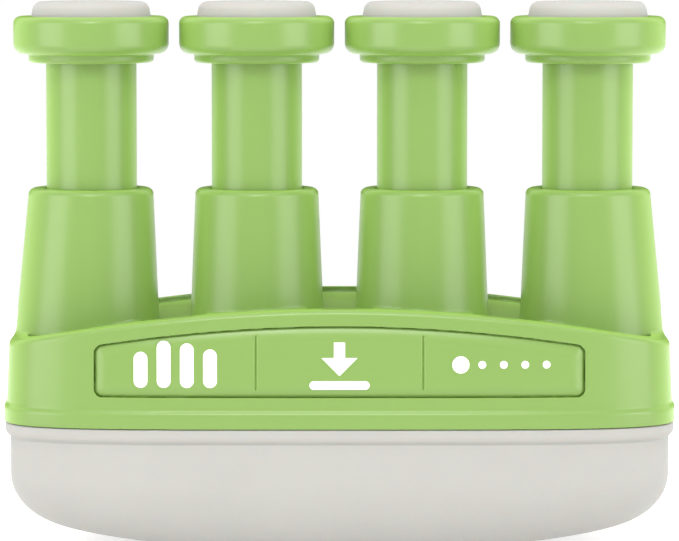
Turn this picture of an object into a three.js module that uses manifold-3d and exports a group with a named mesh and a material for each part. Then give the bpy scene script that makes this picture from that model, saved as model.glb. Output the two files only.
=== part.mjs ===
// A hand-held finger exerciser: four sprung pistons, one per finger, in a moulded housing with a
// soft palm rest below. Millimetres, +Z up, +X to the right, front towards -Y.
// The origin is at the middle of the palm rest's underside.

import * as THREE from 'three';
import { mergeVertices } from 'three/addons/utils/BufferGeometryUtils.js';
import Module from 'manifold-3d';

// ---- driving dimensions -------------------------------------------------------------------------

const PISTON_COUNT = 4;
const PISTON_PITCH = 19.85;        // finger spacing
const STROKE = 14;                 // full travel of a piston

const PLAN_POWER = 4.8;            // superellipse power of the housing's plan
const PLAN_SEGMENTS = 48;
const ROUND_SEGMENTS = 24;
const SMALL_SEGMENTS = 12;         // for screws, pegs and their holes

// housing, from the bottom up
const FLANGE = { halfX: 40, halfY: 17.8, bottom: 15.4, top: 17.4, edge: 0.5 };
const WALL = { footX: 39.7, footY: 17.5, topX: 39.15, topY: 17.0 };
const CREST = { height: 29.25, radius: 179, edge: 0.6 };    // the arched upper rim
const PLATE_SEAT = 17.25;          // underside of the deck, where the spring plate is clamped
const VALLEY = { halfX: 4, front: -10.5, back: 16.4, depth: 3.2 };  // the ramp between two towers
const MOAT = { halfX: 7.8, rim: 1.9, shift: 0.9, depth: 0.8 }; // shallow recess round each tower

// towers
const TOWER = { top: 42.5, topRadius: 7.37, draft: 0.042, edge: 0.75, root: 19 };
const FLANK = { topShift: 0.16, slope: 0.058, foot: 24 }; // lean of an end tower's outer side, to foot
const GUIDE = { radius: 5.6, shoulder: 34.1, boreRadius: 6.5 };

// pistons
const SHAFT = { radius: 5.425, boreRadius: 4.1, boreTop: 56, top: 61, chamfer: 0.4 };
const FOOT = { radius: 6.2, top: 34 };                      // the collar that keeps a shaft in its tower
const SHAFT_BOTTOM = PLATE_SEAT + STROKE + 0.75;            // clear of the plate at full travel
const CAP = { radius: 9.3, bottom: 58.6, top: 63.1, edge: 1.0 };
const COLLAR = { radius: 7.5, bottom: TOWER.top + STROKE + 1.05, edge: 0.35 };
const SOCKET = { radius: 5.5, top: 61.1 };                  // in the cap, for the shaft
const PAD_SEAT = { radius: 7.4, bottom: 62.3 };             // the dish in the cap's top
const PAD = { radius: 7.28, bottom: 62.35, shoulder: 64.1, crown: 64.88, top: 65 };

// springs and the plate that carries them
const SPRING = { meanRadius: 3.3, wireRadius: 0.28, turns: 11, clearance: 0.03 };
const SPRING_DETAIL = { stepsPerTurn: 8, wireSides: 4 };
const PLATE = { halfX: 37.1, halfY: 14.9, bottom: 15.4, top: 17.2 };
const PLATE_RIM = { halfX: 36.8, halfY: 14.6, bottom: 12.6, wall: 1.4 };
const PLATE_GAP = 0.2;
const SPIGOT = { radius: 2.5, root: 15.9, top: 19.5, chamfer: 0.5 };
const SCREW = { x: 27.5, y: 9.8, shankRadius: 0.95, headRadius: 1.9, headHeight: 1.3, tip: 23, point: 1 };
const CROSS_RECESS = { length: 2, width: 0.45, depth: 0.65 };
const SCREW_HOLES = { plate: 1.25, pilot: 1.05, pilotTop: 23.6 };

// palm rest
const REST = { halfX: 39.3, halfY: 17.2, wall: 2, shoulder: 9, top: 15.3, land: 4, sagRadius: 146 };
const REST_INNER = { halfX: 31, halfY: 10 };                // outline where the underside starts to curl up
const LIP = { halfX: 39.9, halfY: 17.7, bottom: 13.8, edge: 0.7, chamfer: 0.2 };

// label panels
const PANEL = { halfX: 28.5, bottom: 19.2, crown: 27.4, radius: 181, lowCorner: 0.8, highCorner: 1.5 };
const PANEL_GAP = 0.3;             // groove all round a panel
const PANEL_THICKNESS = 1.1;
const PANEL_CLEARANCE = 0.1;       // behind a panel
const PANEL_STEP = { depth: 0.35, width: 0.6 };             // how the rim of a panel is stepped back
const DIVIDER = { x: 9.75, width: 0.5, depth: 0.35, endGap: 0.9 };
const PANEL_PEG = { x: 25.5, y: 16.5, z: 22.5, radius: 0.9, length: 1.6 };
const PANEL_PEG_HOLE = { radius: 1.25, length: 2 };
const CUT_MARGIN = 1;              // how far a cutting solid stands clear of what it cuts

// ---- colours ------------------------------------------------------------------------------------

const GREEN = { color: 0xa0c86c, roughness: 0.38, metalness: 0 };
const PALE_GREY = { color: 0xd8d5cd, roughness: 0.75, metalness: 0 };
const DARK_PLASTIC = { color: 0x5b5f5c, roughness: 0.6, metalness: 0 };
const SPRING_STEEL = { color: 0xb9bcc0, roughness: 0.3, metalness: 1 };
const SCREW_STEEL = { color: 0x9a9da2, roughness: 0.35, metalness: 1 };

// ---- solids -------------------------------------------------------------------------------------

const wasm = await Module();
wasm.setup();

// A closed geometry as a solid: shared vertices merged, triangles with no area dropped.
function solid(geometry) {
  const bare = geometry.clone();
  bare.deleteAttribute('normal');
  bare.deleteAttribute('uv');
  const merged = mergeVertices(bare, 1e-4);
  const index = merged.index.array;
  const kept = [];
  for (let i = 0; i < index.length; i += 3) {
    const [a, b, c] = [index[i], index[i + 1], index[i + 2]];
    if (a !== b && b !== c && c !== a) {
      kept.push(a, b, c);
    }
  }
  const vertProperties = Float32Array.from(merged.attributes.position.array);
  const triVerts = Uint32Array.from(kept);
  return new wasm.Manifold(new wasm.Mesh({ numProp: 3, vertProperties, triVerts }));
}

// A solid back as a geometry.
function geometryOf(manifold) {
  const mesh = manifold.getMesh();
  const geometry = new THREE.BufferGeometry();
  geometry.setAttribute('position', new THREE.BufferAttribute(mesh.vertProperties, 3));
  geometry.setIndex(new THREE.BufferAttribute(mesh.triVerts, 1));
  geometry.computeVertexNormals();
  return geometry;
}

// A round solid about +Z from [radius, z] points. The profile starts and ends on the axis, or closes on
// itself.
function turned(profile, segments, x = 0, y = 0) {
  const points = profile.map(([radius, z]) => new THREE.Vector2(radius, z));
  const geometry = new THREE.LatheGeometry(points, segments);
  geometry.rotateX(Math.PI / 2);
  geometry.translate(x, y, 0);
  return solid(geometry);
}

// A solid made of closed rings about +Z, from the first ring to the last. place(ring, angle) gives the
// point of a ring at an angle that runs from the front (-Y) towards +X.
function ringed(ringCount, segments, place) {
  const points = Array.from({ length: ringCount }, (_, ring) => new THREE.Vector2(1, ring));
  const geometry = new THREE.LatheGeometry(points, segments);
  const position = geometry.attributes.position;
  for (let step = 0; step <= segments; step += 1) {
    const angle = ((step % segments) / segments) * Math.PI * 2;
    for (let ring = 0; ring < ringCount; ring += 1) {
      position.setXYZ(step * ringCount + ring, ...place(ring, angle));
    }
  }
  return solid(geometry);
}

// The point of a superellipse of half-sizes a and b at an angle from the front (-Y) towards +X.
function planPoint(a, b, angle) {
  const flatten = (value) => Math.sign(value) * Math.abs(value) ** (2 / PLAN_POWER);
  return [a * flatten(Math.sin(angle)), -b * flatten(Math.cos(angle))];
}

// A superellipse solid from rings of [half X, half Y, z].
function planSolid(rings) {
  const closed = [[0, 0, rings[0][2]], ...rings, [0, 0, rings[rings.length - 1][2]]];
  return ringed(closed.length, PLAN_SEGMENTS, (ring, angle) => {
    const [a, b, z] = closed[ring];
    return [...planPoint(a, b, angle), z];
  });
}

// A flat outline in X and Z pushed from y = from to y = to.
function pushedAlongY(shape, from, to, curveSegments = 6) {
  const depth = to - from;
  const geometry = new THREE.ExtrudeGeometry(shape, { depth, bevelEnabled: false, curveSegments });
  geometry.rotateX(Math.PI / 2);
  geometry.translate(0, to, 0);
  return solid(geometry);
}

function box(sizeX, sizeY, sizeZ, x, y, z) {
  const geometry = new THREE.BoxGeometry(sizeX, sizeY, sizeZ);
  geometry.translate(x, y, z);
  return solid(geometry);
}

// The same solid turned half round the Z axis.
function turnedRound(manifold) {
  const geometry = geometryOf(manifold);
  geometry.rotateZ(Math.PI);
  return solid(geometry);
}

// Points of a quarter-round edge from [radius, z - edge] to [radius - edge, z], or downwards with a
// negative edge.
function roundedEdge(radius, z, edge, steps = 2) {
  return Array.from({ length: steps + 1 }, (_, step) => {
    const turn = (step / steps) * (Math.PI / 2);
    const inset = Math.abs(edge) * (1 - Math.cos(turn));
    return [radius - inset, z - edge * (1 - Math.sin(turn))];
  });
}

// The solid to cut for an upright round hole.
function hole(radius, bottom, top, x, y) {
  const profile = [[0, bottom], [radius, bottom], [radius, top], [0, top]];
  return turned(profile, SMALL_SEGMENTS, x, y);
}

const pistonX = (index) => (index - (PISTON_COUNT - 1) / 2) * PISTON_PITCH;
const pistons = Array.from({ length: PISTON_COUNT }, (_, index) => index);
const crestHeight = (x) => CREST.height - (x * x) / (2 * CREST.radius);

const screwPlaces = [-1, 1].flatMap((side) => [-1, 1].map((depth) => [side * SCREW.x, depth * SCREW.y]));

// ---- housing ------------------------------------------------------------------------------------

// The walls up to the arched rim, whose rounded edge follows the arch. The rim can be lowered.
function arched(lowered = 0) {
  const bottom = FLANGE.top - FLANGE.edge;
  const edge = roundedEdge(0, 0, CREST.edge);
  const deckShares = [0.7, 0.35, 0];
  const rings = [
    [0, 0, bottom],
    [WALL.footX, WALL.footY, bottom],
    ...edge.map(([inset, drop]) => [WALL.topX + inset, WALL.topY + inset, null, drop]),
  ];
  const last = rings[rings.length - 1];
  rings.push(...deckShares.map((share) => [last[0] * share, last[1] * share, null, 0]));
  return ringed(rings.length, PLAN_SEGMENTS, (ring, angle) => {
    const [a, b, z, drop] = rings[ring];
    const [x, y] = planPoint(a, b, angle);
    return [x, y, z ?? crestHeight(x) - lowered + drop];
  });
}

function flange() {
  const low = roundedEdge(0, 0, -FLANGE.edge / 2, 1).reverse();
  const high = roundedEdge(0, 0, FLANGE.edge);
  const ring = (z) => ([inset, drop]) => [FLANGE.halfX + inset, FLANGE.halfY + inset, z + drop];
  return planSolid([...low.map(ring(FLANGE.bottom)), ...high.map(ring(FLANGE.top))]);
}

// One tower. lean is -1 or +1 for an end tower, whose outer side leans out that way, and 0 otherwise.
function tower(x, lean) {
  const radiusAt = (z) => TOWER.topRadius + (TOWER.top - z) * TOWER.draft;
  const side = (z) => [radiusAt(z), z];
  const edge = roundedEdge(radiusAt(TOWER.top - TOWER.edge), TOWER.top, TOWER.edge);
  const profile = [[0, TOWER.root], side(TOWER.root), side(FLANK.foot), ...edge, [0, TOWER.top]];
  return ringed(profile.length, ROUND_SEGMENTS, (ring, angle) => {
    const [radius, z] = profile[ring];
    const outward = radius > 0 ? Math.max(0, lean * Math.sin(angle)) : 0;
    const drop = TOWER.top - Math.max(z, FLANK.foot);
    const shift = lean * outward * (FLANK.topShift + FLANK.slope * drop);
    return [x + radius * Math.sin(angle) + shift, -radius * Math.cos(angle), z];
  });
}

// The dip between two towers: steep in front, and from there a ramp up to the rim at the back.
function valley(x) {
  const { halfX, front, back, depth } = VALLEY;
  const crest = crestHeight(x);
  const shape = new THREE.Shape();
  shape.moveTo(front, crest - depth);
  shape.lineTo(back, crest);
  shape.lineTo(back, crest + CUT_MARGIN);
  shape.lineTo(front, crest + CUT_MARGIN);
  const geometry = new THREE.ExtrudeGeometry(shape, { depth: 2 * halfX, bevelEnabled: false });
  geometry.rotateX(Math.PI / 2);
  geometry.rotateZ(Math.PI / 2);
  geometry.translate(x - halfX, 0, 0);
  return solid(geometry);
}

// The recesses round the towers, inside a rim that is wider in front. Their floors follow the arch.
function moats() {
  const halfX = WALL.topX - MOAT.rim;
  const halfY = WALL.topY - MOAT.rim;
  const top = CREST.height + CUT_MARGIN;
  const plan = planSolid([[halfX, halfY, TOWER.root], [halfX, halfY, top]]).translate([0, MOAT.shift, 0]);
  const inside = plan.subtract(arched(MOAT.depth));
  const sizeY = 2 * FLANGE.halfY;
  const slice = (index) => inside.intersect(box(2 * MOAT.halfX, sizeY, 2 * top, pistonX(index), 0, 0));
  return pistons.map(slice).reduce((all, one) => all.add(one));
}

// The guide bore, the wider bore below it for the piston's foot, and their mouth under the deck.
function towerBore(x) {
  const { radius, shoulder, boreRadius } = GUIDE;
  const bottom = FLANGE.bottom - CUT_MARGIN;
  const top = TOWER.top + CUT_MARGIN;
  const profile = [
    [0, bottom],
    [boreRadius, bottom],
    [boreRadius, shoulder],
    [radius, shoulder],
    [radius, top],
    [0, top],
  ];
  return turned(profile, ROUND_SEGMENTS, x);
}

// Outline of a label panel in X and Z, grown by a margin.
function panelOutline(margin = 0) {
  const halfX = PANEL.halfX + margin;
  const low = PANEL.bottom - margin;
  const radius = PANEL.radius + margin;
  const centre = PANEL.crown - PANEL.radius;
  const { lowCorner, highCorner } = PANEL;
  const arcEnd = Math.acos((halfX - highCorner) / radius);
  const shoulder = centre + Math.sqrt(radius ** 2 - (halfX - highCorner) ** 2);
  const shape = new THREE.Shape();
  shape.moveTo(-halfX + lowCorner, low);
  shape.lineTo(halfX - lowCorner, low);
  shape.absarc(halfX - lowCorner, low + lowCorner, lowCorner, -Math.PI / 2, 0);
  shape.lineTo(halfX, shoulder - highCorner);
  shape.absarc(halfX - highCorner, shoulder - highCorner, highCorner, 0, arcEnd);
  shape.absarc(0, centre, radius, arcEnd, Math.PI - arcEnd);
  shape.absarc(-halfX + highCorner, shoulder - highCorner, highCorner, Math.PI - arcEnd, Math.PI);
  shape.lineTo(-halfX, low + lowCorner);
  shape.absarc(-halfX + lowCorner, low + lowCorner, lowCorner, Math.PI, 1.5 * Math.PI);
  return shape;
}

// A block with the housing's plan, inset by depth below the tapered wall's surface, taller than a panel.
function wallBlock(depth) {
  const rise = CREST.height - FLANGE.top + CUT_MARGIN;
  const rate = (WALL.footX - WALL.topX) / (CREST.height - FLANGE.top);
  const ring = (z) => {
    const draft = rate * (z - FLANGE.top);
    return [WALL.footX - draft - depth, WALL.footY - draft - depth, z];
  };
  return planSolid([ring(FLANGE.top), ring(FLANGE.top + rise)]);
}

// A label panel's outline, grown by a margin, as a slab that reaches from in front of the wall to well
// behind it.
function panelSlab(margin) {
  const front = -FLANGE.halfY - CUT_MARGIN;
  return pushedAlongY(panelOutline(margin), front, front / 2, 4);
}

// What is cut from the front wall to take a label panel, with the holes for its pegs.
function panelRecess() {
  const pocket = panelSlab(PANEL_GAP).subtract(wallBlock(PANEL_THICKNESS + PANEL_CLEARANCE));
  return pocket.add(pegs(PANEL_PEG_HOLE));
}

// The two pegs on a panel's back, or the holes that take them.
function pegs({ radius, length }) {
  const one = (x) => {
    const geometry = new THREE.CylinderGeometry(radius, radius, length, SMALL_SEGMENTS);
    geometry.translate(x, -PANEL_PEG.y + length / 2, PANEL_PEG.z);
    return solid(geometry);
  };
  return one(-PANEL_PEG.x).add(one(PANEL_PEG.x));
}

function housing() {
  let body = arched().add(flange());
  body = body.subtract(moats());
  for (const x of [-PISTON_PITCH, 0, PISTON_PITCH]) {
    body = body.subtract(valley(x));
  }
  for (const index of pistons) {
    const lean = index === 0 ? -1 : Number(index === PISTON_COUNT - 1);
    body = body.add(tower(pistonX(index), lean));
  }
  for (const index of pistons) {
    body = body.subtract(towerBore(pistonX(index)));
  }
  const recess = panelRecess();
  body = body.subtract(recess).subtract(turnedRound(recess));
  const seatX = PLATE.halfX + PLATE_GAP;
  const seatY = PLATE.halfY + PLATE_GAP;
  body = body.subtract(planSolid([[seatX, seatY, FLANGE.bottom - CUT_MARGIN], [seatX, seatY, PLATE_SEAT]]));
  for (const [x, y] of screwPlaces) {
    body = body.subtract(hole(SCREW_HOLES.pilot, PLATE_SEAT - CUT_MARGIN, SCREW_HOLES.pilotTop, x, y));
  }
  return body;
}

// ---- label panels -------------------------------------------------------------------------------

// The front panel follows the wall's surface. Its rim is stepped back all round, so that its face
// looks slightly pillowed, and two grooves divide it in three.
function frontPanel() {
  const rim = panelSlab(0).intersect(wallBlock(PANEL_STEP.depth));
  const face = panelSlab(-PANEL_STEP.width).intersect(wallBlock(0));
  let panel = rim.add(face).subtract(wallBlock(PANEL_THICKNESS));
  const height = PANEL.crown - PANEL.bottom - 2 * DIVIDER.endGap;
  const depth = DIVIDER.depth + CUT_MARGIN;
  const y = -WALL.footY - CUT_MARGIN + depth / 2;
  const z = PANEL.bottom + DIVIDER.endGap + height / 2;
  for (const x of [-DIVIDER.x, DIVIDER.x]) {
    panel = panel.subtract(box(DIVIDER.width, depth, height, x, y, z));
  }
  return panel.add(pegs(PANEL_PEG));
}

// ---- palm rest, plate, springs and screws ---------------------------------------------------------

// The soft rest: curled underside, side wall and lip outside, an even wall thickness inside, open at the
// top.
function palmRest() {
  const flat = (x) => Math.max(0, Math.abs(x) - REST.land) ** 2 / (2 * REST.sagRadius);
  const under = (share) => (angle) => {
    const [x, y] = planPoint(REST_INNER.halfX * share, REST_INNER.halfY * share, angle);
    return [x, y, flat(x)];
  };
  const curl = (turn, inset) => (angle) => {
    const inner = planPoint(REST_INNER.halfX, REST_INNER.halfY, angle);
    const outer = planPoint(REST.halfX - inset, REST.halfY - inset, angle);
    const out = Math.sin(turn);
    const low = flat(inner[0]) + inset;
    const mix = (side) => inner[side] + (outer[side] - inner[side]) * out;
    return [mix(0), mix(1), low + (REST.shoulder - low) * (1 - Math.cos(turn))];
  };
  const level = (a, b, z) => (angle) => [...planPoint(a, b, angle), z];
  const curlTurns = (steps) => {
    const turnOf = (_, step) => ((step + 1) / steps) * (Math.PI / 2);
    return Array.from({ length: steps }, turnOf);
  };
  const innerX = REST.halfX - REST.wall;
  const innerY = REST.halfY - REST.wall;
  const raised = (place) => (angle) => {
    const [x, y, z] = place(angle);
    return [x, y, z + REST.wall];
  };
  const rings = [
    ...[0, 0.1, 0.5, 1].map(under),
    ...curlTurns(5).map((turn) => curl(turn, 0)),
    level(REST.halfX, REST.halfY, LIP.bottom - LIP.chamfer),
    level(LIP.halfX - LIP.chamfer, LIP.halfY - LIP.chamfer, LIP.bottom),
    level(LIP.halfX, LIP.halfY, LIP.bottom + LIP.edge),
    level(LIP.halfX, LIP.halfY, REST.top),
    level(innerX, innerY, REST.top),
    ...curlTurns(3).reverse().map((turn) => curl(turn, REST.wall)),
    ...[1, 0.5, 0].map((share) => raised(under(share))),
  ];
  return ringed(rings.length, PLAN_SEGMENTS, (ring, angle) => rings[ring](angle));
}

// The plate under the deck, with a rim below that holds the palm rest and a spigot for each spring.
function springPlate() {
  const { halfX, halfY, bottom, top } = PLATE;
  const rings = [
    [PLATE_RIM.halfX - PLATE_RIM.wall, PLATE_RIM.halfY - PLATE_RIM.wall, bottom],
    [PLATE_RIM.halfX - PLATE_RIM.wall, PLATE_RIM.halfY - PLATE_RIM.wall, PLATE_RIM.bottom],
    [PLATE_RIM.halfX, PLATE_RIM.halfY, PLATE_RIM.bottom],
    [PLATE_RIM.halfX, PLATE_RIM.halfY, bottom],
    [halfX, halfY, bottom],
    [halfX, halfY, top],
  ];
  const spigot = [
    [0, SPIGOT.root],
    [SPIGOT.radius, SPIGOT.root],
    [SPIGOT.radius, SPIGOT.top - SPIGOT.chamfer],
    [SPIGOT.radius - SPIGOT.chamfer, SPIGOT.top],
    [0, SPIGOT.top],
  ];
  let plate = planSolid(rings);
  for (const index of pistons) {
    plate = plate.add(turned(spigot, SMALL_SEGMENTS, pistonX(index)));
  }
  for (const [x, y] of screwPlaces) {
    plate = plate.subtract(hole(SCREW_HOLES.plate, PLATE_RIM.bottom - CUT_MARGIN, top + CUT_MARGIN, x, y));
  }
  return plate;
}

class Helix extends THREE.Curve {
  constructor(radius, bottom, top, turns) {
    super();
    Object.assign(this, { radius, bottom, top, turns });
  }

  getPoint(share, target = new THREE.Vector3()) {
    const angle = share * this.turns * Math.PI * 2;
    const z = this.bottom + (this.top - this.bottom) * share;
    return target.set(this.radius * Math.cos(angle), this.radius * Math.sin(angle), z);
  }
}

function spring() {
  const { meanRadius, wireRadius, turns, clearance } = SPRING;
  const { stepsPerTurn, wireSides } = SPRING_DETAIL;
  const bottom = PLATE.top + wireRadius + clearance;
  const top = SHAFT.boreTop - wireRadius - clearance;
  const wire = new THREE.Shape();
  for (let side = 0; side < wireSides; side += 1) {
    const angle = (side / wireSides) * Math.PI * 2;
    const point = [wireRadius * Math.cos(angle), wireRadius * Math.sin(angle)];
    if (side === 0) {
      wire.moveTo(...point);
    } else {
      wire.lineTo(...point);
    }
  }
  wire.closePath();
  const extrudePath = new Helix(meanRadius, bottom, top, turns);
  const options = { steps: turns * stepsPerTurn, bevelEnabled: false, extrudePath };
  return solid(new THREE.ExtrudeGeometry(wire, options));
}

// A pan-head self-tapping screw, head down, with a cross recess.
function screw() {
  const { shankRadius, headRadius, headHeight, tip, point } = SCREW;
  const underHead = PLATE.bottom;
  const headBottom = underHead - headHeight;
  const profile = [
    [0, headBottom],
    [headRadius * 0.75, headBottom],
    [headRadius, headBottom + headHeight * 0.45],
    [headRadius, underHead],
    [shankRadius, underHead],
    [shankRadius, tip - point],
    [0, tip],
  ];
  const { length, width, depth } = CROSS_RECESS;
  const slot = (sizeX, sizeY) => box(sizeX, sizeY, 2 * depth, 0, 0, headBottom);
  return turned(profile, SMALL_SEGMENTS).subtract(slot(length, width)).subtract(slot(width, length));
}

// ---- pistons ------------------------------------------------------------------------------------

function shaft() {
  const { radius, boreRadius, boreTop, top, chamfer } = SHAFT;
  const bottom = SHAFT_BOTTOM;
  const profile = [
    [boreRadius, bottom],
    [FOOT.radius, bottom],
    [FOOT.radius, FOOT.top],
    [radius, FOOT.top],
    [radius, top - chamfer],
    [radius - chamfer, top],
    [0, top],
    [0, boreTop],
    [boreRadius, boreTop],
    [boreRadius, bottom],
  ];
  return turned(profile, ROUND_SEGMENTS);
}

function cap() {
  const profile = [
    [0, SOCKET.top],
    [SOCKET.radius, SOCKET.top],
    [SOCKET.radius, COLLAR.bottom],
    [COLLAR.radius - COLLAR.edge, COLLAR.bottom],
    [COLLAR.radius, COLLAR.bottom + COLLAR.edge],
    [COLLAR.radius, CAP.bottom],
    ...roundedEdge(CAP.radius, CAP.bottom, -CAP.edge).reverse(),
    ...roundedEdge(CAP.radius, CAP.top, CAP.edge),
    [PAD_SEAT.radius, CAP.top],
    [PAD_SEAT.radius, PAD_SEAT.bottom],
    [0, PAD_SEAT.bottom],
  ];
  return turned(profile, ROUND_SEGMENTS);
}

function pad() {
  const { radius, bottom, shoulder, crown, top } = PAD;
  const profile = [
    [0, bottom],
    [radius, bottom],
    [radius - 0.15, shoulder],
    [radius - 0.45, shoulder + 0.55],
    [radius - 1.2, crown],
    [2.5, top],
    [0, top],
  ];
  return turned(profile, ROUND_SEGMENTS);
}

// ---- assembly -----------------------------------------------------------------------------------

const group = new THREE.Group();
group.name = 'finger_exerciser';

function place(name, manifold, look, x = 0, y = 0) {
  const mesh = new THREE.Mesh(geometryOf(manifold), new THREE.MeshStandardMaterial(look));
  mesh.name = name;
  mesh.position.set(x, y, 0);
  group.add(mesh);
  return mesh;
}

place('housing', housing(), GREEN);
place('front_label_panel', frontPanel(), GREEN);
place('back_label_panel', frontPanel(), GREEN).rotation.z = Math.PI;
place('spring_plate', springPlate(), DARK_PLASTIC);
place('palm_rest', palmRest(), PALE_GREY);
for (const index of pistons) {
  const x = pistonX(index);
  const number = index + 1;
  place(`piston_shaft_${number}`, shaft(), GREEN, x);
  place(`finger_cap_${number}`, cap(), GREEN, x);
  place(`finger_pad_${number}`, pad(), PALE_GREY, x);
  place(`return_spring_${number}`, spring(), SPRING_STEEL, x);
}
screwPlaces.forEach(([x, y], index) => place(`screw_${index + 1}`, screw(), SCREW_STEEL, x, y));

export default group;
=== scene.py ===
"""A four-finger exerciser: green housing and pistons, pale grey soft palm rest and finger pads.

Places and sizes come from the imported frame's boxes. Shapes are worked out in millimetres in the frame's own
axes (+X along the row of pistons, front towards -Y, +Z up) and turned into metres when a mesh is made.
"""

import math

import bpy
import numpy as np
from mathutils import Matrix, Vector


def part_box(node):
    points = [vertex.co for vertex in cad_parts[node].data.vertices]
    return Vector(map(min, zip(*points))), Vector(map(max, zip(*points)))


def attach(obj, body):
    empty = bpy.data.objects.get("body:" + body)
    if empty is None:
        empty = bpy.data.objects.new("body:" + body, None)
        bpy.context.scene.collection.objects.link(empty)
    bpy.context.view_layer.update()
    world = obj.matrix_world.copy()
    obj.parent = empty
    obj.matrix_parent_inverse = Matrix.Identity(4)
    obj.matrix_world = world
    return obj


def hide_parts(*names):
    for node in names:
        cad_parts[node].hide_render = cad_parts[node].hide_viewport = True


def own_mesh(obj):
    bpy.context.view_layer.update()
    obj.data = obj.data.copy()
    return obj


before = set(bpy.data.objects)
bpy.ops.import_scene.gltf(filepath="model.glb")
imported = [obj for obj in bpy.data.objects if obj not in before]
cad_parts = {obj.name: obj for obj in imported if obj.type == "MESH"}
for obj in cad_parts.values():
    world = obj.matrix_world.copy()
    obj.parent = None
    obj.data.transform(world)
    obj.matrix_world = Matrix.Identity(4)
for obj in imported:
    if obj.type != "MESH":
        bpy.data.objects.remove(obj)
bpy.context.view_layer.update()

MM = 0.001
PISTONS = (1, 2, 3, 4)


def node_box(node):
    """A CAD node's lowest and highest corners in millimetres."""
    low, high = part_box(node)
    return np.array(low) / MM, np.array(high) / MM


def middle(node):
    """The middle of a CAD node's box, in millimetres."""
    low, high = node_box(node)
    return (low + high) / 2


# ---- sizes, in millimetres ------------------------------------------------------------------------

HOUSING_LOW, HOUSING_HIGH = node_box("housing")
REST_HIGH = node_box("palm_rest")[1]
PLATE_HIGH = node_box("spring_plate")[1]
SHAFT_LOW, SHAFT_HIGH = node_box("piston_shaft_1")
CAP_LOW, CAP_HIGH = node_box("finger_cap_1")
PAD_LOW, PAD_HIGH = node_box("finger_pad_1")
SPRING_LOW, SPRING_HIGH = node_box("return_spring_1")
PISTON_X = [middle(f"piston_shaft_{number}")[0] for number in PISTONS]
VALLEY_X = [(left + right) / 2 for left, right in zip(PISTON_X, PISTON_X[1:])]

PLAN_POWER = 4.8                                   # superellipse power of the housing's plan
FLANGE = dict(half_x=HOUSING_HIGH[0], half_y=HOUSING_HIGH[1], bottom=HOUSING_LOW[2], height=2.0)
FLANGE_TOP = FLANGE["bottom"] + FLANGE["height"]
WALL = dict(inset=0.3, draft=0.045)                # wall inside the flange's outline, and its lean inwards
CREST = dict(height=29.25, radius=179.0, edge=0.6)  # the arched upper rim
TOWER_TOP = HOUSING_HIGH[2]
TOWER = dict(radius=7.37, draft=0.042, edge=0.75, root=19.0)
FLANK = dict(top_shift=0.16, slope=0.058, foot=24.0)        # how an end tower's outer side leans out
VALLEY = dict(half_x=4.0, front=-10.5, back=16.4, depth=3.2, corner=1.0, floor_corner=0.5)
MOAT = dict(beyond=7.8, rim=1.9, shift=0.9, depth=0.8, corner=1.0, floor_corner=0.3)
GUIDE = dict(radius=5.6, shoulder=34.1, bore=6.5, lead=0.3)
PLATE_TOP = SPRING_LOW[2]
PLATE_GAP = 0.2
ROUNDING = dict(
    flange=0.45, wall_foot=0.25, underside=0.15, tower_foot=0.35, valley=0.4, moat=0.3, recess=0.08,
)

PANEL = dict(half_x=28.5, bottom=19.2, crown=27.25, radius=177.0, low_corner=0.8, high_corner=0.8)
PANEL_GAP = 0.17
PANEL_DEPTH = 1.1
PANEL_EDGE = 0.15
RECESS_FLOOR_GAP = 0.1
PANEL_ROLL = dict(width=1.6, radius=3.6)           # how the panel's rim is rolled back
PANEL_SHELF = dict(reach=0.12, depth=0.55)         # a step below the rim that closes the groove round it
DIVIDER = dict(x=9.75, lean=0.6, width=0.18, depth=0.4, short=0.75, edge=0.12)  # grooves across the panel

REST = dict(half_x=39.3, half_y=17.2, wall=2.0, shoulder=9.0, land=4.0, sag_radius=146.0)
REST_INNER = dict(half_x=31.0, half_y=10.0)        # outline where the underside starts to curl up
LIP = dict(bottom=13.75, edge=0.8, slope=0.55, crease=0.15, top_edge=0.2)

SHAFT = dict(radius=5.425, bore=4.1, foot_top=34.0, bore_top=56.0, foot_edge=0.3, top_edge=0.4)
CAP = dict(disc_bottom=58.6, lower_edge=1.25, upper_edge=0.9, collar=7.5, collar_edge=0.45, fillet=0.25)
SOCKET = dict(radius=5.5, top=61.1, chamfer=0.15)
SEAT = dict(radius=7.4, z=62.3, edge=0.12)
PAD = dict(crown=0.14, shoulder=1.15, lean=0.25, foot_edge=0.2)
SPRING = dict(radius=3.3, wire=0.28, turns=11, steps_a_turn=28, sides=10, end_rise=1.02)


# ---- distance fields ------------------------------------------------------------------------------
# A field gives the signed distance, in millimetres, from points to a surface: negative inside.


def carve(first, second, radius):
    """What lies inside both, with the edge between them rounded."""
    corner = np.hypot(np.maximum(first + radius, 0), np.maximum(second + radius, 0))
    return np.minimum(np.maximum(first, second), -radius) + corner


def weld(first, second, radius):
    """What lies inside either, with a fillet between them."""
    corner = np.hypot(np.maximum(radius - first, 0), np.maximum(radius - second, 0))
    return np.maximum(np.minimum(first, second), radius) - corner


def plan_field(x, y, half_x, half_y):
    """Distance to a superellipse outline, close to exact near it."""
    u, v = np.abs(x) / half_x, np.abs(y) / half_y
    total = np.maximum(u**PLAN_POWER + v**PLAN_POWER, 1e-4)
    level = total ** (1 / PLAN_POWER)
    slope = np.hypot(u ** (PLAN_POWER - 1) / half_x, v ** (PLAN_POWER - 1) / half_y) * level / total
    return np.maximum((level - 1) / np.maximum(slope, 1e-3), -half_y)


def crest_field(x, z):
    """Distance above the arched rim."""
    return (z - CREST["height"] + x**2 / (2 * CREST["radius"])) / np.hypot(1, x / CREST["radius"])


def wall_field(x, y, z):
    """Distance outside the housing's leaning wall."""
    outline = plan_field(x, y, FLANGE["half_x"] - WALL["inset"], FLANGE["half_y"] - WALL["inset"])
    return outline + WALL["draft"] * (z - FLANGE_TOP)


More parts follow.
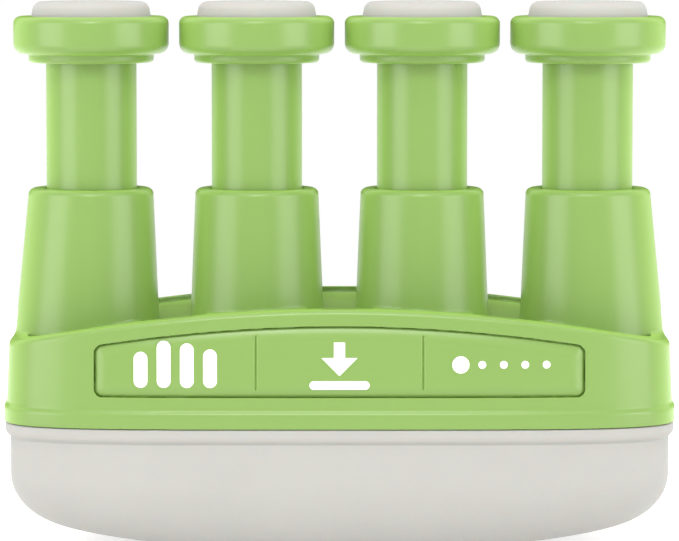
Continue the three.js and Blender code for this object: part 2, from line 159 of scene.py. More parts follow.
def tower_field(x, y, z, centre, lean):
    """A tapered tower. lean is -1 or 1 for an end tower, whose outer side leans out, and 0 otherwise."""
    drop = TOWER_TOP - z
    radius = TOWER["radius"] + TOWER["draft"] * drop
    shift = FLANK["top_shift"] + FLANK["slope"] * np.minimum(drop, TOWER_TOP - FLANK["foot"])
    offset = x - centre
    stretch = lean * np.clip(lean * offset, 0, shift) if lean else 0
    side = np.hypot(offset - stretch, y) - radius
    return np.maximum(carve(side, -drop, TOWER["edge"]), TOWER["root"] - z)


def panel_outline_field(x, z):
    """Distance outside a label panel's outline, seen from the front."""
    arch = np.hypot(x, z - PANEL["crown"] + PANEL["radius"]) - PANEL["radius"]
    side = np.abs(x) - PANEL["half_x"]
    upper = carve(side, arch, PANEL["high_corner"])
    return carve(upper, PANEL["bottom"] - z, PANEL["low_corner"])


def valley_field(x, y, z, centre):
    """The dip between two towers: steep in front, then a ramp that rises to the rim at the back."""
    run = VALLEY["back"] - VALLEY["front"]
    floor = VALLEY["depth"] * (VALLEY["back"] - y) / run
    side = carve(np.abs(x - centre) - VALLEY["half_x"], VALLEY["front"] - y, VALLEY["corner"])
    return carve(side, -crest_field(x, z) - floor, VALLEY["floor_corner"])


def moat_field(x, y, z):
    """The shallow recess round the towers, inside a rim that is wider in front. Its floor is arched too."""
    rim = wall_field(x, y - MOAT["shift"], CREST["height"]) + MOAT["rim"]
    side = carve(rim, np.abs(x) - PISTON_X[-1] - MOAT["beyond"], MOAT["corner"])
    return carve(side, -crest_field(x, z) - MOAT["depth"], MOAT["floor_corner"])


def bore_field(x, y, z, centre):
    """The guide bore with the wider bore below its shoulder."""
    across = np.hypot(x - centre, y)
    return np.minimum(np.maximum(across - GUIDE["bore"], z - GUIDE["shoulder"]), across - GUIDE["radius"])


def housing_field(x, y, z):
    """The arched body, its flange and towers, less dips, bores, panel recess and plate seat."""
    wall = wall_field(x, y, z)
    body = carve(wall, crest_field(x, z), CREST["edge"])
    flange = plan_field(x, y, FLANGE["half_x"], FLANGE["half_y"])
    body = weld(body, carve(flange, z - FLANGE_TOP, ROUNDING["flange"]), ROUNDING["wall_foot"])
    body = carve(body, FLANGE["bottom"] - z, ROUNDING["underside"])
    for centre in VALLEY_X:
        body = carve(body, -valley_field(x, y, z, centre), ROUNDING["valley"])
    body = carve(body, -moat_field(x, y, z), ROUNDING["moat"])
    for centre, lean in zip(PISTON_X, (-1, 0, 0, 1)):
        body = weld(body, tower_field(x, y, z, centre, lean), ROUNDING["tower_foot"])
    for centre in PISTON_X:
        body = carve(body, -bore_field(x, y, z, centre), GUIDE["lead"])
    recess = np.maximum(panel_outline_field(x, z) - PANEL_GAP, -wall - PANEL_DEPTH - RECESS_FLOOR_GAP)
    body = carve(body, -recess, ROUNDING["recess"])
    seat = plan_field(x, y, PLATE_HIGH[0] + PLATE_GAP, PLATE_HIGH[1] + PLATE_GAP)
    return np.maximum(body, -np.maximum(seat, z - PLATE_TOP))


def panel_field(x, y, z):
    """The front label panel: it follows the wall, its rim is rolled back and two grooves cross it."""
    outline = panel_outline_field(x, z)
    wall = wall_field(x, y, z)
    radius = PANEL_ROLL["radius"]
    pillow = carve(wall, outline - (radius - PANEL_ROLL["width"]), radius)
    face = carve(pillow, outline, PANEL_EDGE)
    face = np.minimum(face, np.maximum(outline - PANEL_SHELF["reach"], wall + PANEL_SHELF["depth"]))
    face = np.maximum(face, -wall - PANEL_DEPTH)
    lean = DIVIDER["lean"]
    for side in (-1, 1):
        across = np.abs(x - side * DIVIDER["x"])
        flanks = math.sqrt(1 - lean**2) * across - lean * wall - DIVIDER["width"]
        groove = np.maximum(flanks, -wall - DIVIDER["depth"])
        groove = np.maximum(groove, outline + DIVIDER["short"])
        face = carve(face, -groove, DIVIDER["edge"])
    return np.maximum(face, y)


# ---- meshes ---------------------------------------------------------------------------------------

CORNERS = np.array([(i, j, k) for i in (0, 1) for j in (0, 1) for k in (0, 1)])
EDGES = [(a, b) for a in range(8) for b in range(a + 1, 8) if abs(CORNERS[a] - CORNERS[b]).sum() == 1]


def gradient(field, points, step=1e-3):
    """The field's slope at an array of points."""
    slope = np.empty_like(points)
    for axis in range(3):
        ahead, behind = points.copy(), points.copy()
        ahead[:, axis] += step
        behind[:, axis] -= step
        slope[:, axis] = (field(*ahead.T) - field(*behind.T)) / (2 * step)
    return slope


def onto_surface(field, points, reach):
    """Points moved down the field's slope to its surface, by at most reach at a time."""
    for _ in range(2):
        slope = gradient(field, points)
        steep = np.maximum((slope**2).sum(axis=1, keepdims=True), 1e-6)
        step = slope / steep * field(*points.T)[:, None]
        points = points - np.clip(step, -reach, reach)
    return points


def sample(field, axes):
    """The field on a grid that is symmetric in X, worked out for one half in slices."""
    half = len(axes[0]) // 2
    right = axes[0][half:]
    grid = np.empty((len(right), len(axes[1]), len(axes[2])), np.float32)
    for index, x in enumerate(right):
        grid[index] = field(x, axes[1][:, None], axes[2][None, :])
    return np.concatenate([grid[:0:-1], grid])


def contour(field, low, high, cell):
    """The field's zero surface as points and quads, by dual contouring, which keeps sharp edges sharp."""
    counts = np.ceil((np.array(high) - low) / cell).astype(int) + 1
    half = int(np.ceil(high[0] / cell))
    axes = [cell * np.arange(-half, half + 1)]
    axes += [low[axis] + cell * np.arange(counts[axis]) for axis in (1, 2)]
    grid = sample(field, axes)
    origin = np.array([axis[0] for axis in axes])
    inside = grid < 0
    shape = [count - 1 for count in grid.shape]
    mixed = np.zeros(shape, bool)
    for i, j, k in CORNERS[1:]:
        mixed |= inside[i:i + shape[0], j:j + shape[1], k:k + shape[2]] != inside[:-1, :-1, :-1]
    cells = np.argwhere(mixed)
    number = np.full(shape, -1, np.int64)
    number[mixed] = np.arange(len(cells))
    values = np.stack([grid[tuple((cells + corner).T)] for corner in CORNERS], axis=1)
    owners, crossings = [], []
    for a, b in EDGES:
        cut = np.flatnonzero((values[:, a] < 0) != (values[:, b] < 0))
        share = (values[cut, a] / (values[cut, a] - values[cut, b]))[:, None]
        owners.append(cut)
        crossings.append(origin + cell * (cells[cut] + CORNERS[a] + share * (CORNERS[b] - CORNERS[a])))
    owners = np.concatenate(owners)
    crossings = onto_surface(field, np.concatenate(crossings), cell / 2)
    normals = gradient(field, crossings)
    normals /= np.maximum(np.linalg.norm(normals, axis=1, keepdims=True), 1e-9)

    def summed(weights):
        return np.bincount(owners, weights, len(cells))

    mean = np.stack([summed(crossings[:, axis]) for axis in range(3)], axis=1) / summed(None)[:, None]
    offset = np.einsum("ij,ij->i", normals, crossings - mean[owners])
    matrix = np.empty((len(cells), 3, 3))
    target = np.empty((len(cells), 3, 1))
    for row in range(3):
        target[:, row, 0] = summed(normals[:, row] * offset)
        for column in range(3):
            matrix[:, row, column] = summed(normals[:, row] * normals[:, column])
    shift = np.linalg.solve(matrix + 0.05 * np.eye(3), target)[:, :, 0]
    corner = origin + cell * cells
    points = np.clip(mean + shift, corner, corner + cell)
    return points, contour_quads(inside, number)


def contour_quads(inside, number):
    """One quad round each grid edge that the surface crosses, facing outwards."""
    quads = []
    for axis in range(3):
        one, two = np.delete(np.eye(3, dtype=int), axis, 0)
        low, high = [slice(None)] * 3, [slice(None)] * 3
        low[axis], high[axis] = slice(None, -1), slice(1, None)
        index = np.argwhere(inside[tuple(low)] != inside[tuple(high)])
        ring = [number[tuple((index - step).T)] for step in (one + two, two, 0 * one, one)]
        quad = np.stack(ring, axis=1)
        flip = inside[tuple(index.T)] == (axis == 1)
        quad[flip] = quad[flip][:, ::-1]
        quads.append(quad)
    return np.concatenate(quads)


def mesh_object(name, points, faces, sharp_angle=40):
    """A smooth-shaded mesh object from points in millimetres."""
    if isinstance(faces, np.ndarray):
        faces = faces.tolist()
    mesh = bpy.data.meshes.new(name)
    mesh.from_pydata((np.asarray(points) * MM).tolist(), [], faces)
    mesh.polygons.foreach_set("use_smooth", [True] * len(mesh.polygons))
    mesh.set_sharp_from_angle(angle=math.radians(sharp_angle))
    piece = bpy.data.objects.new(name, mesh)
    bpy.context.scene.collection.objects.link(piece)
    return piece


def skin(rings, closed=False):
    """Points and faces between rings of points. A ring of one point closes an end."""
    points, starts = [], []
    for ring in rings:
        starts.append(len(points))
        points.extend(ring)
    pairs = [(index, index + 1) for index in range(len(rings) - 1)]
    if closed:
        pairs.append((len(rings) - 1, 0))
    faces = []
    for lower, upper in pairs:
        count = max(len(rings[lower]), len(rings[upper]))
        for step in range(count):
            after = (step + 1) % count
            below = [starts[lower] + place for place in (step, after)]
            above = [starts[upper] + place for place in (after, step)]
            if len(rings[lower]) == 1:
                below = [starts[lower]]
            if len(rings[upper]) == 1:
                above = [starts[upper]]
            faces.append(below + above)
    return points, faces


def arc(radius, z, edge, start, end, steps=6):
    """Points of a rounding of size edge about (radius, z), angles in degrees from outwards to up."""
    turns = np.radians(np.linspace(start, end, steps + 1))
    return [(radius + edge * math.cos(turn), z + edge * math.sin(turn)) for turn in turns]


def lathe(name, profile, x, segments=96, closed=False):
    """A solid of revolution about a vertical axis at x, from (radius, z) points that run up its outside."""
    turns = [2 * math.pi * step / segments for step in range(segments)]
    rings = []
    for radius, z in profile:
        if radius < 1e-6:
            rings.append([(x, 0, z)])
        else:
            rings.append([(x + radius * math.cos(turn), radius * math.sin(turn), z) for turn in turns])
    points, faces = skin(rings, closed)
    return mesh_object(name, points, faces)


def finish_piece(piece, body, slot, look, *nodes):
    """Puts a piece on its body, gives it its finish and hides the CAD nodes it stands for."""
    piece.data.materials.append(look)
    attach(piece, body)
    if nodes:
        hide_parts(*nodes)
    return piece


# ---- materials ------------------------------------------------------------------------------------

class Look:
    """A material under construction: a Principled shader and the nodes that feed it."""

    def __init__(self, name):
        self.material = bpy.data.materials.new(name)
        self.material.use_nodes = True
        self.tree = self.material.node_tree
        self.shader = self.tree.nodes["Principled BSDF"]
        self.coordinates = self.node("ShaderNodeTexCoord").outputs["Object"]

    def node(self, kind, **values):
        """A new node of a kind, with its properties set."""
        made = self.tree.nodes.new(kind)
        for key, value in values.items():
            setattr(made, key, value)
        return made

    def link(self, source, target):
        """Joins an output to an input."""
        self.tree.links.new(source, target)

    def set(self, **values):
        """Fixed values for the shader's inputs, with _ for each space in a name."""
        for key, value in values.items():
            self.shader.inputs[key.replace("_", " ")].default_value = value

    def noise(self, per_mm, detail, roughness=0.5):
        """A noise texture of about per_mm features in a millimetre."""
        texture = self.node("ShaderNodeTexNoise")
        self.link(self.coordinates, texture.inputs["Vector"])
        texture.inputs["Scale"].default_value = per_mm / MM
        texture.inputs["Detail"].default_value = detail
        texture.inputs["Roughness"].default_value = roughness
        return texture.outputs["Fac"]

    def ramp(self, value, low, high, start=0.3, end=0.7):
        """A value between start and end turned into one between low and high."""
        made = self.node("ShaderNodeMapRange")
        self.link(value, made.inputs["Value"])
        for key, number in zip(("From Min", "From Max", "To Min", "To Max"), (start, end, low, high)):
            made.inputs[key].default_value = number
        return made.outputs["Result"]

    def blend(self, factor, first, second):
        """A mix of two colours, either of which may be another node's output."""
        made = self.node("ShaderNodeMix", data_type="RGBA")
        self.link(factor, made.inputs["Factor"])
        for socket, colour in ((made.inputs["A"], first), (made.inputs["B"], second)):
            if isinstance(colour, bpy.types.NodeSocket):
                self.link(colour, socket)
            else:
                socket.default_value = (*colour, 1)
        return made.outputs["Result"]

    def bump(self, height, depth_mm, below=None):
        """A bump of a given depth, on top of another if there is one."""
        made = self.node("ShaderNodeBump")
        made.inputs["Strength"].default_value = 1.0
        made.inputs["Distance"].default_value = depth_mm * MM
        self.link(height, made.inputs["Height"])
        if below is not None:
            self.link(below, made.inputs["Normal"])
        return made.outputs["Normal"]

    def tint(self, first, second, per_mm, detail=4, roughness=0.5):
        """A colour that drifts between two by a noise."""
        return self.blend(self.ramp(self.noise(per_mm, detail, roughness), 0, 1), first, second)

    def colour(self, source):
        """Gives the shader its base colour."""
        self.link(source, self.shader.inputs["Base Color"])

    def rough(self, low, high, per_mm, detail=4):
        """Gives the shader a roughness that drifts between two values by a noise."""
        self.link(self.ramp(self.noise(per_mm, detail), low, high), self.shader.inputs["Roughness"])

    def grain(self, *layers):
        """Gives the shader bumps, each on top of the one before, with depths in millimetres."""
        normal = None
        for layer in layers:
            normal = self.bump(self.noise(layer["per_mm"], layer["detail"]), layer["depth"], normal)
        self.link(normal, self.shader.inputs["Normal"])


def green_plastic():
    """Satin moulded plastic: slightly cloudy, faintly uneven, with painted fill light that makes it brighter
    at a glance than face on.
    """
    look = Look("green_plastic")
    cloudy = look.tint((0.170, 0.280, 0.068), (0.175, 0.287, 0.071), per_mm=0.06)
    # Painted fill light: towards grazing angles the base colour turns a lighter green, standing in for light
    # on the sides.
    facing = look.node("ShaderNodeLayerWeight").outputs["Facing"]
    painted_glance_light = look.ramp(facing, 0, 1, start=0.25, end=0.9)
    look.colour(look.blend(painted_glance_light, cloudy, (0.275, 0.465, 0.083)))
    look.rough(0.285, 0.32, per_mm=0.25, detail=5)
    look.grain(dict(depth=0.0015, per_mm=3.5, detail=2), dict(depth=0.02, per_mm=0.08, detail=2))
    look.set(Specular_IOR_Level=0.35)
    return look.material


def soft_grey(name, base, shade):
    """Soft elastomer: matt, very fine grain, faint mottling where hands have rubbed it."""
    look = Look(name)
    look.colour(look.tint(base, shade, per_mm=0.05, detail=5, roughness=0.6))
    look.rough(0.62, 0.8, per_mm=0.2)
    look.grain(dict(depth=0.01, per_mm=4.0, detail=3), dict(depth=0.004, per_mm=0.7, detail=2))
    look.set(Subsurface_Weight=0.2, Subsurface_Scale=0.002, Specular_IOR_Level=0.35, Sheen_Weight=0.08)
    return look.material


def dark_plastic():
    """Matt dark grey moulded plastic, which is seen only when the object is open."""
    look = Look("dark_plastic")
    look.colour(look.tint((0.10, 0.11, 0.105), (0.13, 0.14, 0.135), per_mm=0.1))
    look.rough(0.5, 0.65, per_mm=0.3)
    look.grain(dict(depth=0.01, per_mm=3.0, detail=2))
    return look.material


def steel(name, tone, rough):
    """Drawn or plated steel, faintly mottled."""
    look = Look(name)
    shade = [0.8 * value for value in tone]
    look.colour(look.tint(tone, shade, per_mm=0.6, detail=5))
    look.rough(rough, rough + 0.12, per_mm=1.5)
    look.grain(dict(depth=0.003, per_mm=5.0, detail=3))
    look.set(Metallic=1.0)
    return look.material


def white_print():
    """Pad-printed ink: nearly white, slightly uneven."""
    look = Look("white_print")
    look.colour(look.tint((0.93, 0.93, 0.92), (0.86, 0.87, 0.85), per_mm=0.8))
    look.rough(0.45, 0.6, per_mm=2.0, detail=3)
    look.grain(dict(depth=0.003, per_mm=5.0, detail=2))
    return look.material


# ---- housing and panels ---------------------------------------------------------------------------

HOUSING_CELL = 0.25
PANEL_CELL = 0.15
MARGIN = 1.0


def make_housing(look):
    """The housing's shell, kept inside the CAD housing's box."""
    points, quads = contour(housing_field, HOUSING_LOW - MARGIN, HOUSING_HIGH + MARGIN, HOUSING_CELL)
    piece = mesh_object("housing_shell", np.clip(points, HOUSING_LOW, HOUSING_HIGH), quads)
    finish_piece(piece, "housing", "green_plastic", look, "housing")


def make_panels(look):
    """The front panel, and the same one turned half round for the back."""
    low, high = node_box("front_label_panel")
    points, quads = contour(panel_field, low - MARGIN, high + MARGIN, PANEL_CELL)
    for side, turn in (("front", 1), ("back", -1)):
        piece = mesh_object(f"{side}_panel", points * (turn, turn, 1), quads)
        finish_piece(piece, "housing", "green_plastic", look, f"{side}_label_panel")


def wall_y(x, z):
    """Where the front wall's surface is, for places near the middle of its height."""
    half_x = FLANGE["half_x"] - WALL["inset"]
    half_y = FLANGE["half_y"] - WALL["inset"]
    draft = WALL["draft"] * (z - FLANGE_TOP)
    return -half_y * (1 - (abs(x) / half_x) ** PLAN_POWER) ** (1 / PLAN_POWER) + draft


def stroke(start, end, width, steps=12):
    """The outline of a round-ended line from start to end, in X and Z."""
    (x0, z0), (x1, z1) = start, end
    heading = math.atan2(z1 - z0, x1 - x0)
    outline = []
    for (x, z), turn in (((x1, z1), heading - math.pi / 2), ((x0, z0), heading + math.pi / 2)):
        for step in range(steps + 1):
            angle = turn + math.pi * step / steps
            outline.append((x + width / 2 * math.cos(angle), z + width / 2 * math.sin(angle)))
    return outline


def arrow(top, bottom, half_width, half_stem):
    """The outline of an arrow in the middle that points down, with a head as tall as it is half wide."""
    neck = bottom + half_width
    right = [(0, bottom), (half_width, neck), (half_stem, neck), (half_stem, top)]
    return right + [(-x, z) for x, z in right[:0:-1]]


INK = (0.004, 0.03)                                # where the ink starts and ends, proud of the wall
PRINT_DROP = 0.3                                   # how far the pictograms sit below the panel's middle
FINGERS = dict(pitch=2.7, width=1.6, foot=-1.9, heights=(2.6, 3.9, 3.6, 2.9))
ARROW = dict(top=2.6, bottom=-1.3, half_width=2.1, half_stem=0.65)
LINE = dict(half_x=3, below=2.4, width=1.0)
SCALE = dict(pitch=2.5, dots=(2.0, 0.9, 0.9, 0.9, 0.9))


def printed_mark(name, outline, look):
    """A thin layer of ink on the front panel."""
    layers = [[(x, wall_y(x, z) - proud, z) for x, z in outline] for proud in INK]
    count = len(outline)
    faces = [list(range(count))[::-1], list(range(count, 2 * count))]
    for step in range(count):
        after = (step + 1) % count
        faces.append([step, after, count + after, count + step])
    piece = mesh_object(name, layers[0] + layers[1], faces)
    finish_piece(piece, "housing", "soft_grey", look)


def make_print(look):
    """Generic pictograms: four fingers, a press-down arrow and a strength scale."""
    level = (PANEL["bottom"] + PANEL["crown"]) / 2 - PRINT_DROP
    section = (DIVIDER["x"] + PANEL["half_x"]) / 2
    marks = []
    foot = level + FINGERS["foot"]
    for step, height in enumerate(FINGERS["heights"]):
        x = -section + FINGERS["pitch"] * (step - 1.5)
        marks.append(stroke((x, foot), (x, foot + height), FINGERS["width"]))
    tip, tail = level + ARROW["bottom"], level + ARROW["top"]
    marks.append(arrow(tail, tip, ARROW["half_width"], ARROW["half_stem"]))
    line_z = level - LINE["below"]
    marks.append(stroke((-LINE["half_x"], line_z), (LINE["half_x"], line_z), LINE["width"]))
    for step, width in enumerate(SCALE["dots"]):
        x = section + SCALE["pitch"] * (step - 2)
        marks.append(stroke((x, level), (x + 0.001, level), width))
    for number, outline in enumerate(marks, 1):
        printed_mark(f"printed_mark_{number}", outline, look)


# ---- palm rest ------------------------------------------------------------------------------------

REST_SEGMENTS = 240


def outline_turns(count):
    """Angles that spread points evenly along a superellipse."""
    fine = np.linspace(0, 2 * math.pi, 20001)
    x, y = plan_points(REST["half_x"], REST["half_y"], fine)
    travel = np.concatenate([[0], np.cumsum(np.hypot(np.diff(x), np.diff(y)))])
    return np.interp(np.arange(count) / count * travel[-1], travel, fine)


def plan_points(half_x, half_y, turns):
    """Points of a superellipse outline."""
    power = 2 / PLAN_POWER
    x = half_x * np.sign(np.cos(turns)) * np.abs(np.cos(turns)) ** power
    y = half_y * np.sign(np.sin(turns)) * np.abs(np.sin(turns)) ** power
    return x, y


def make_palm_rest(look):
    """A soft shell: curled underside, side wall and lip outside, an even wall inside, open at the top."""
    turns = outline_turns(REST_SEGMENTS)
    top = REST_HIGH[2]
    proud, proud_y = REST_HIGH[0] - REST["half_x"], REST_HIGH[1] - REST["half_y"]

    def sag(x):
        return np.maximum(np.abs(x) - REST["land"], 0) ** 2 / (2 * REST["sag_radius"])

    def under(share, raised=0.0):
        x, y = plan_points(REST_INNER["half_x"] * share, REST_INNER["half_y"] * share, turns)
        return np.stack([x, y, sag(x) + raised], axis=1)

    def curl(turn, inset=0.0):
        inner = np.stack(plan_points(REST_INNER["half_x"], REST_INNER["half_y"], turns))
        outer = np.stack(plan_points(REST["half_x"] - inset, REST["half_y"] - inset, turns))
        x, y = inner + (outer - inner) * math.sin(turn)
        low = sag(inner[0]) + inset
        return np.stack([x, y, low + (REST["shoulder"] - low) * (1 - math.cos(turn))], axis=1)

    def level(outwards, z):
        out_y = outwards * proud_y / proud if outwards > 0 else outwards
        x, y = plan_points(REST["half_x"] + outwards, REST["half_y"] + out_y, turns)
        return np.stack([x, y, np.full(len(turns), z)], axis=1)

    edge, crease, rim = LIP["edge"], LIP["crease"], LIP["top_edge"]
    quarter = np.linspace(0, math.pi / 2, 25)[1:]
    shares = np.linspace(0.06, 1, 12)
    rings = [[(0, 0, 0)]]
    rings += [under(share) for share in shares]
    rings += [curl(turn) for turn in quarter]
    rings += [level(0, z) for z in np.linspace(REST["shoulder"] + 0.8, LIP["bottom"] - 3 * crease, 6)]
    for turn in np.linspace(0, math.pi / 2, 4):
        rings.append(level(crease * (1 - math.cos(turn)), LIP["bottom"] + crease * (math.sin(turn) - 2)))
    for turn in np.linspace(0.2, math.pi / 2, 8):
        inwards = LIP["slope"] * edge * (1 - math.sin(turn))
        rings.append(level(proud - inwards, LIP["bottom"] + edge * (1 - math.cos(turn))))
    rings += [level(proud, top - 1.25 * rim)]
    for turn in np.linspace(0, math.pi / 2, 5):
        rings.append(level(proud - rim * (1 - math.cos(turn)), top - rim * (1 - math.sin(turn))))
    rings += [level(-REST["wall"], top)]
    rings += [curl(turn, REST["wall"]) for turn in quarter[::-1][::2]]
    rings += [under(share, REST["wall"]) for share in shares[::-1][::2]]
    rings += [[(0, 0, REST["wall"])]]
    points, faces = skin([list(map(tuple, ring)) for ring in rings])
    piece = mesh_object("palm_rest_soft", points, faces, 50)
    finish_piece(piece, "housing", "soft_grey", look, "palm_rest")


# ---- pistons --------------------------------------------------------------------------------------

def make_shaft(number, x, look):
    """A hollow shaft, open below, with a foot that its spring pushes up against the bore's shoulder."""
    radius, bore, edge = SHAFT["radius"], SHAFT["bore"], SHAFT["foot_edge"]
    foot = SHAFT_HIGH[0] - PISTON_X[0]
    bottom, top, foot_top = SHAFT_LOW[2], SHAFT_HIGH[2], SHAFT["foot_top"]
    profile = [(bore, bottom)]
    profile += arc(foot - edge, bottom + edge, edge, -90, 0, 4)
    profile += arc(foot - edge, foot_top - edge, edge, 0, 90, 4)
    profile += arc(radius + edge, foot_top + edge, edge, 270, 180, 4)
    profile += [(radius, z) for z in np.linspace(foot_top + 2, top - 2, 8)]
    profile += arc(radius - SHAFT["top_edge"], top - SHAFT["top_edge"], SHAFT["top_edge"], 0, 90, 4)
    profile += [(0, top), (0, SHAFT["bore_top"]), (bore, SHAFT["bore_top"])]
    piece = lathe(f"shaft_{number}", profile, x, closed=True)
    finish_piece(piece, f"piston_{number}", "green_plastic", look, f"piston_shaft_{number}")


def make_cap(number, x, look):
    """A disc with rounded edges over a shallow collar, a socket for the shaft and a seat for the pad."""
    radius = CAP_HIGH[0] - PISTON_X[0]
    bottom, top = CAP_LOW[2], CAP_HIGH[2]
    disc_bottom, lower, upper = CAP["disc_bottom"], CAP["lower_edge"], CAP["upper_edge"]
    collar, collar_edge, fillet = CAP["collar"], CAP["collar_edge"], CAP["fillet"]
    socket, socket_top, chamfer = SOCKET["radius"], SOCKET["top"], SOCKET["chamfer"]
    profile = [(0, socket_top), (socket, socket_top), (socket, bottom + chamfer), (socket + chamfer, bottom)]
    profile += arc(collar - collar_edge, bottom + collar_edge, collar_edge, -90, 0)
    profile += arc(collar + fillet, disc_bottom - fillet, fillet, 180, 90, 4)
    profile += arc(radius - lower, disc_bottom + lower, lower, -90, 0, 10)
    profile += arc(radius - upper, top - upper, upper, 0, 90, 10)
    profile += arc(SEAT["radius"] + SEAT["edge"], top - SEAT["edge"], SEAT["edge"], 90, 180, 3)
    profile += [(SEAT["radius"], SEAT["z"]), (0, SEAT["z"])]
    piece = lathe(f"cap_{number}", profile, x, segments=128)
    finish_piece(piece, f"piston_{number}", "green_plastic", look, f"finger_cap_{number}")


def make_pad(number, x, look):
    """A soft pad: nearly upright side, generous shoulder and a slightly crowned top."""
    radius = PAD_HIGH[0] - PISTON_X[0]
    bottom, top = PAD_LOW[2], PAD_HIGH[2]
    crown, shoulder, edge = PAD["crown"], PAD["shoulder"], PAD["foot_edge"]
    profile = [(0, bottom)]
    profile += arc(radius - edge, bottom + edge, edge, -90, 0, 3)
    profile += arc(radius - PAD["lean"] - shoulder, top - crown - shoulder, shoulder, 5, 84, 10)
    rim = profile[-1][0]
    profile += [(rim * share, top - crown * 0.9 * share**2) for share in np.linspace(0.92, 0.08, 12)]
    profile += [(0, top)]
    piece = lathe(f"pad_{number}", profile, x)
    finish_piece(piece, f"piston_{number}", "soft_grey", look, f"finger_pad_{number}")


def helix(x):
    """Points and faces of a round wire wound upwards about a vertical axis, with closed end turns."""
    wire, turns, sides = SPRING["wire"], SPRING["turns"], SPRING["sides"]
    bottom, top = SPRING_LOW[2] + wire, SPRING_HIGH[2] - wire
    steps = turns * SPRING["steps_a_turn"]
    rise = 2 * wire * SPRING["end_rise"]
    points = []
    for step in range(steps + 1):
        share = step / steps
        turn = 2 * math.pi * turns * share
        z = np.interp(share, [0, 1 / turns, 1 - 1 / turns, 1], [bottom, bottom + rise, top - rise, top])
        for side in range(sides):
            around = 2 * math.pi * side / sides
            radius = SPRING["radius"] + wire * math.cos(around)
            level = z + wire * math.sin(around)
            points.append((x + radius * math.cos(turn), radius * math.sin(turn), level))
    faces = []
    for base in range(0, steps * sides, sides):
        for side in range(sides):
            after = (side + 1) % sides
            faces.append([base + side, base + sides + side, base + sides + after, base + after])
    start = list(range(sides))
    faces += [start, [steps * sides + side for side in start][::-1]]
    return points, faces


def make_spring(number, x, look):
    """A compression spring, which shortens as its piston goes down; it is built here at one length, with a
    mesh of its own.
    """
    piece = mesh_object(f"spring_{number}", *helix(x))
    finish_piece(piece, "housing", "spring_steel", look, f"return_spring_{number}")
    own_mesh(piece)


def dress_node(node, look):
    """A CAD node that stays gets its finish."""
    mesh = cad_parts[node].data
    mesh.materials.clear()
    mesh.materials.append(look)


# ---- studio ---------------------------------------------------------------------------------------

CAMERA_PLACE = np.array((0.0, -480.0, 73.5))
CAMERA_AIM = np.array((0.0, 0.0, 32.48))
LENS = 212
SENSOR = 36

# The room's brightness by azimuth: degrees away from the front, and the value there.
ROOM = ((0, 0.61), (180, 1.1), (86, 0.62), (98, 0.74), (148, 1.25), (158, 1.1))
BACKDROP = dict(value=0.05, from_y=0.8, low_z=-0.02, high_z=0.5)      # a dim screen behind the object
OVERHEAD = dict(from_z=0.5, gain=2, soft=0.1)                         # the ceiling's white patch

FLOOR_RADIUS = 0.3
FLOOR_Z = -0.00005                                 # just below the rest, so that their faces share no plane
FLOOR_TONE = 0.7
FLOOR_GLOW = (0.45, 0.6)                           # as the object sees it, and as the camera sees it

# Softboxes in metres and watts. A light that isn't glossy leaves no highlight.
LIGHT_AIM = (0, 0, 0.033)
LIGHTS = {
    "strip_left": dict(width=0.4, height=0.6, power=3.5, place=(-0.489, -0.294, 0.05)),
    "strip_right": dict(width=0.4, height=0.6, power=3.5, place=(0.489, -0.294, 0.05)),
    "overhead": dict(width=0.7, height=0.5, power=1.5, place=(0, -0.1, 0.6)),
    "key": dict(width=0.16, height=0.12, power=1.3, place=(-0.02, -0.44, 0.42)),
    "back_fill": dict(width=0.6, height=0.2, power=1.6, place=(0, 0.45, 0.1), glossy=False),
}


def make_camera():
    """A long lens in front of the pistons, looking slightly down."""
    data = bpy.data.cameras.new("camera")
    data.sensor_width = SENSOR
    data.lens = LENS
    camera = bpy.data.objects.new("camera", data)
    camera.location = CAMERA_PLACE * MM
    pitch = math.atan2(CAMERA_PLACE[2] - CAMERA_AIM[2], CAMERA_AIM[1] - CAMERA_PLACE[1])
    camera.rotation_euler = (math.pi / 2 - pitch, 0, 0)
    bpy.context.scene.collection.objects.link(camera)
    bpy.context.scene.camera = camera


def make_light(name, width, height, power, place, glossy=True):
    """A softbox that the camera doesn't see, aimed at the object."""
    data = bpy.data.lights.new(name, "AREA")
    data.shape = "RECTANGLE"
    data.size = width
    data.size_y = height
    data.energy = power
    light = bpy.data.objects.new(name, data)
    light.location = place
    light.rotation_euler = (Vector(LIGHT_AIM) - Vector(place)).to_track_quat("-Z", "Y").to_euler()
    light.visible_camera = False
    light.visible_glossy = glossy
    bpy.context.scene.collection.objects.link(light)


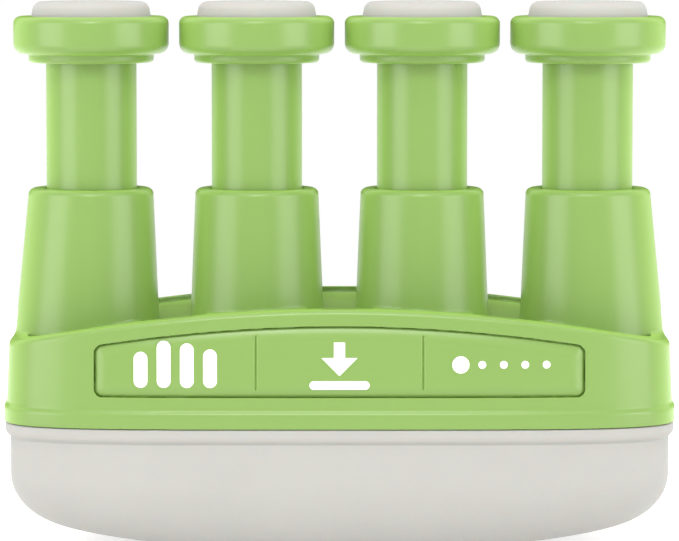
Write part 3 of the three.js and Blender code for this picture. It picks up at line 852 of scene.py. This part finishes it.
def make_world():
    """A pale room, dimmer at the sides, with a dim screen behind; the camera sees it plain white."""
    world = bpy.data.worlds.new("studio")
    bpy.context.scene.world = world
    world.use_nodes = True
    tree = world.node_tree

    def math_node(operation, *values):
        made = tree.nodes.new("ShaderNodeMath")
        made.operation = operation
        for socket, value in zip(made.inputs, values):
            if isinstance(value, bpy.types.NodeSocket):
                tree.links.new(value, socket)
            else:
                socket.default_value = value
        return made.outputs["Value"]

    direction = tree.nodes.new("ShaderNodeSeparateXYZ")
    tree.links.new(tree.nodes.new("ShaderNodeTexCoord").outputs["Generated"], direction.inputs["Vector"])
    x, y, z = direction.outputs
    azimuth = math_node("ABSOLUTE", math_node("ARCTAN2", x, math_node("MULTIPLY", y, -1)))
    ramp = tree.nodes.new("ShaderNodeValToRGB")
    tree.links.new(math_node("DIVIDE", azimuth, math.pi), ramp.inputs["Fac"])
    stops = ramp.color_ramp.elements
    for index, (degrees, value) in enumerate(ROOM):
        stop = stops[index] if index < 2 else stops.new(degrees / 180)
        stop.position = degrees / 180
        stop.color = (value, value, value, 1)
    beyond = math_node("SUBTRACT", math_node("ABSOLUTE", z), OVERHEAD["from_z"])
    overhead = math_node("SMOOTH_MAX", 0, math_node("MULTIPLY", beyond, OVERHEAD["gain"]), OVERHEAD["soft"])
    behind = math_node("GREATER_THAN", y, BACKDROP["from_y"])
    dim = math_node("MULTIPLY", behind, math_node("GREATER_THAN", z, BACKDROP["low_z"]))
    dim = math_node("MULTIPLY", dim, math_node("LESS_THAN", z, BACKDROP["high_z"]))
    seen = tree.nodes.new("ShaderNodeLightPath").outputs["Is Camera Ray"]
    white = math_node("MAXIMUM", seen, overhead)
    shade = tree.nodes.new("ShaderNodeMix")
    tree.links.new(math_node("MINIMUM", white, 1), shade.inputs["Factor"])
    around = tree.nodes.new("ShaderNodeMix")
    tree.links.new(dim, around.inputs["Factor"])
    tree.links.new(ramp.outputs["Color"], around.inputs["A"])
    around.inputs["B"].default_value = BACKDROP["value"]
    tree.links.new(around.outputs["Result"], shade.inputs["A"])
    shade.inputs["B"].default_value = 1.0
    background = tree.nodes["Background"]
    background.inputs["Color"].default_value = (1, 1, 1, 1)
    tree.links.new(shade.outputs["Result"], background.inputs["Strength"])


def make_floor():
    """A plain pale round table top, which the white room carries on beyond."""
    turns = [2 * math.pi * step / 96 for step in range(96)]
    mesh = bpy.data.meshes.new("floor")
    rim = [(FLOOR_RADIUS * math.cos(turn), FLOOR_RADIUS * math.sin(turn), FLOOR_Z) for turn in turns]
    mesh.from_pydata(rim, [], [range(96)])
    floor = bpy.data.objects.new("floor", mesh)
    bpy.context.scene.collection.objects.link(floor)
    material = bpy.data.materials.new("floor")
    material.use_nodes = True
    shader = material.node_tree.nodes["Principled BSDF"]
    shader.inputs["Base Color"].default_value = (FLOOR_TONE, FLOOR_TONE, FLOOR_TONE, 1)
    shader.inputs["Roughness"].default_value = 0.9
    shader.inputs["Specular IOR Level"].default_value = 0.0
    shader.inputs["Emission Color"].default_value = (1, 1, 1, 1)
    seen = material.node_tree.nodes.new("ShaderNodeLightPath").outputs["Is Camera Ray"]
    glow = material.node_tree.nodes.new("ShaderNodeMapRange")
    glow.inputs["To Min"].default_value = FLOOR_GLOW[0]
    glow.inputs["To Max"].default_value = FLOOR_GLOW[1]
    material.node_tree.links.new(seen, glow.inputs["Value"])
    material.node_tree.links.new(glow.outputs["Result"], shader.inputs["Emission Strength"])
    mesh.materials.append(material)


def make_studio():
    """The camera, the room, the floor and the lights, shown without a film curve."""
    bpy.context.scene.view_settings.view_transform = "Standard"
    make_camera()
    make_world()
    make_floor()
    for name, values in LIGHTS.items():
        make_light(name, **values)


# ---- assembly -------------------------------------------------------------------------------------

GREEN = green_plastic()
REST_GREY = soft_grey("palm_rest_grey", (0.357, 0.352, 0.33), (0.346, 0.34, 0.319))
PAD_GREY = soft_grey("finger_pad_grey", (0.375, 0.37, 0.345), (0.365, 0.359, 0.334))
SPRING_STEEL = steel("spring_steel", (0.55, 0.56, 0.58), 0.25)
SCREW_STEEL = steel("screw_steel", (0.5, 0.51, 0.53), 0.3)

make_housing(GREEN)
make_panels(GREEN)
make_print(white_print())
make_palm_rest(REST_GREY)
for number, x in zip(PISTONS, PISTON_X):
    make_shaft(number, x, GREEN)
    make_cap(number, x, GREEN)
    make_pad(number, x, PAD_GREY)
    make_spring(number, x, SPRING_STEEL)
dress_node("spring_plate", dark_plastic())
for number in PISTONS:
    dress_node(f"screw_{number}", SCREW_STEEL)
make_studio()
